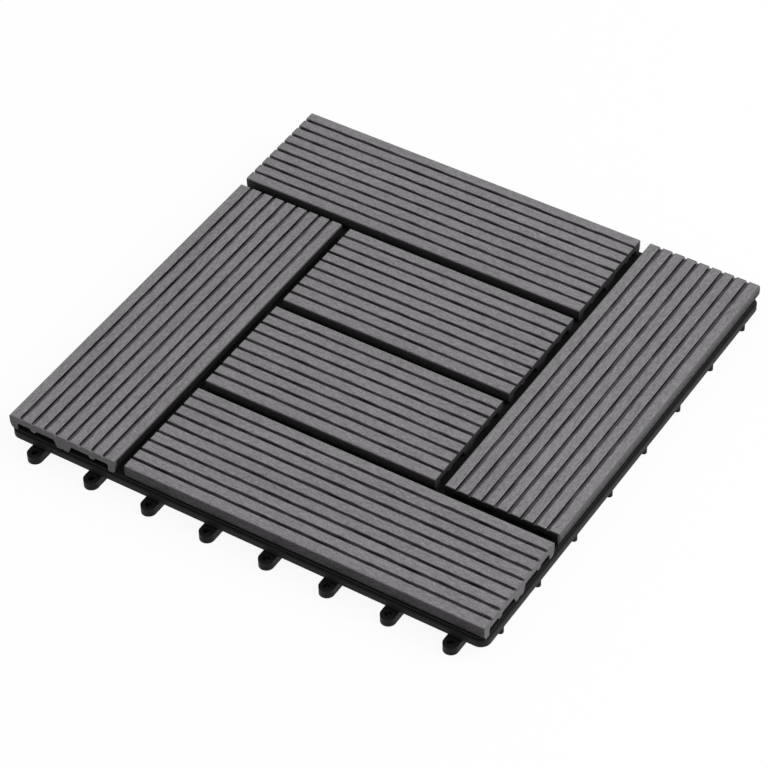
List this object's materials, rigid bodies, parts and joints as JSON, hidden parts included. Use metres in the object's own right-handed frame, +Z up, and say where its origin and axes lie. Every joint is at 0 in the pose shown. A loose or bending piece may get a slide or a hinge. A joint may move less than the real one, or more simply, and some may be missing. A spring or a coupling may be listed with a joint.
{
  "type": "interlocking deck tile",
  "caption": "Square outdoor deck tile: grooved composite slats in a pinwheel, screwed onto a plastic grid base with loops on two sides and pins on the other two.",
  "frame": {"origin": "on the floor under the middle of the slat field, where the lines between opposite loops and pins cross", "axes": "+Z up; the rows of loops are on the sides at -X and -Y, the rows of pins on the sides at +X and +Y; the two inner slats run along X"},
  "size_m": [0.3064, 0.3064, 0.022],
  "materials": {
    "base_plastic": "black moulded polypropylene, fine satin",
    "slat_composite": "grey wood and plastic composite, extruded and brushed",
    "screw_steel": "zinc plated steel"
  },
  "bodies": {
    "root": {"base_grid": "base_plastic", "slat_back": "slat_composite", "slat_left": "slat_composite", "slat_front": "slat_composite", "slat_right": "slat_composite", "slat_inner_back": "slat_composite", "slat_inner_front": "slat_composite", "screws": "screw_steel"}
  },
  "joints": []
}
